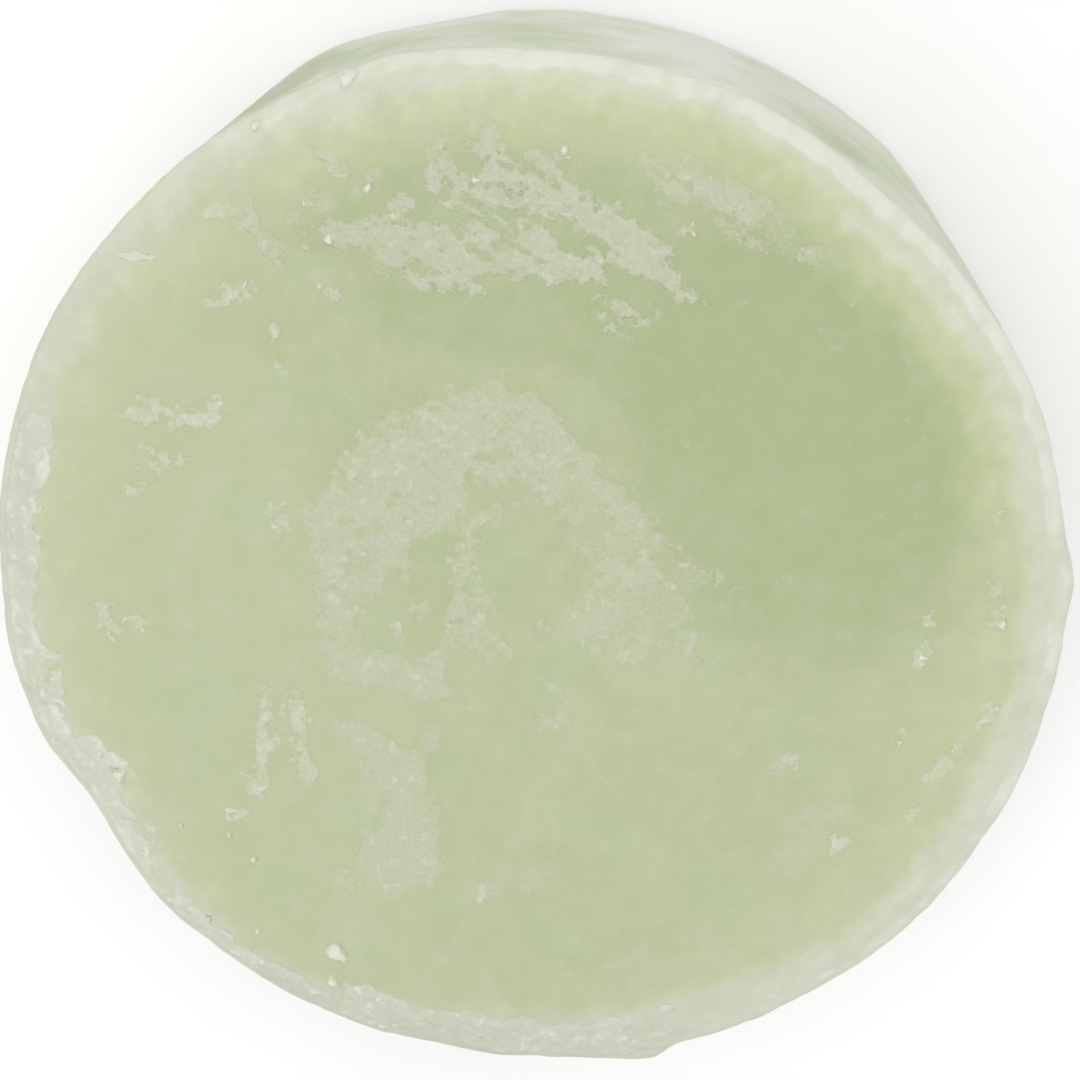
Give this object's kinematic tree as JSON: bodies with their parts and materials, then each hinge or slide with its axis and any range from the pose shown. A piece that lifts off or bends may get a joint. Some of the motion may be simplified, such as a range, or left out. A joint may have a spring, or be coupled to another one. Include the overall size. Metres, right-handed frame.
{
  "type": "shaving soap puck",
  "caption": "Round cast shaving soap puck with a flat used face, softened shoulder, plain side wall, dried lather film and loose soap crumbs.",
  "frame": {"origin": "middle of the underside, on the surface that the puck stands on", "axes": "+Z is the axis of the puck, with the used face up; +X is the right and +Y the top of the face as it is seen in the source view"},
  "size_m": [0.07, 0.07, 0.0228],
  "materials": {
    "soap": "waxy, faintly translucent, soft satin sheen",
    "dry_film": "dull, finely grained dried lather",
    "edge_film": "dull, patchy, slightly cracked",
    "crumb": "dull, broken"
  },
  "bodies": {
    "root": {"soap_cake": "soap", "centre_film": "dry_film", "upper_film": "dry_film", "right_film": "dry_film", "lower_film": "dry_film", "edge_film": "edge_film", "flakes": "dry_film", "slivers": "crumb", "crumbs": "crumb"}
  },
  "joints": []
}
